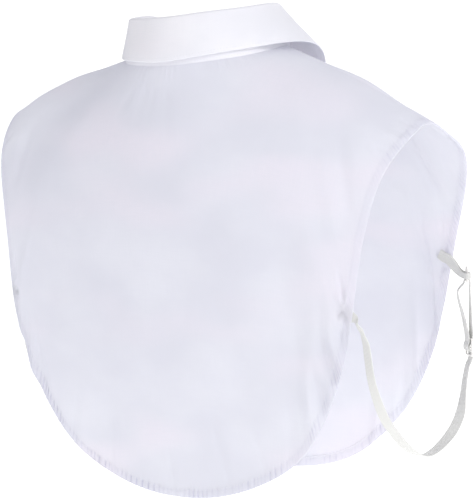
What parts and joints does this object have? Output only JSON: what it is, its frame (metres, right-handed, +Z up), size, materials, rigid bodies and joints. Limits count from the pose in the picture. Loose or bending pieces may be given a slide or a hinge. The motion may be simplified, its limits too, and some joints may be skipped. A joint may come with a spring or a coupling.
{
  "type": "detachable shirt collar",
  "caption": "Half shirt of thin cotton, worn under a jumper: stand and leaf collar, buttoned front, rounded back and front panels held at the sides by adjustable elastic straps.",
  "frame": {"origin": "middle of the neck opening, at the height of the neck seam, where the wearer holds it", "axes": "+Z up the wearer's neck, -Y to the wearer's front, +X to the wearer's left"},
  "size_m": [0.3876, 0.2252, 0.4096],
  "materials": {
    "cotton": "plain weave, soft",
    "button": "polished",
    "elastic": "ribbed",
    "plastic": "smooth"
  },
  "bodies": {
    "root": {"back": "cotton", "front_right": "cotton", "front_left": "cotton", "placket": "cotton", "collar_stand": "cotton", "collar_leaf": "cotton", "front_button_1": "button", "front_button_2": "button", "front_button_3": "button", "stand_button": "button", "left_strap": "elastic", "left_tab": "elastic", "left_slider": "plastic", "left_ring": "plastic", "right_strap": "elastic", "right_tab": "elastic", "right_slider": "plastic", "right_ring": "plastic"}
  },
  "joints": []
}
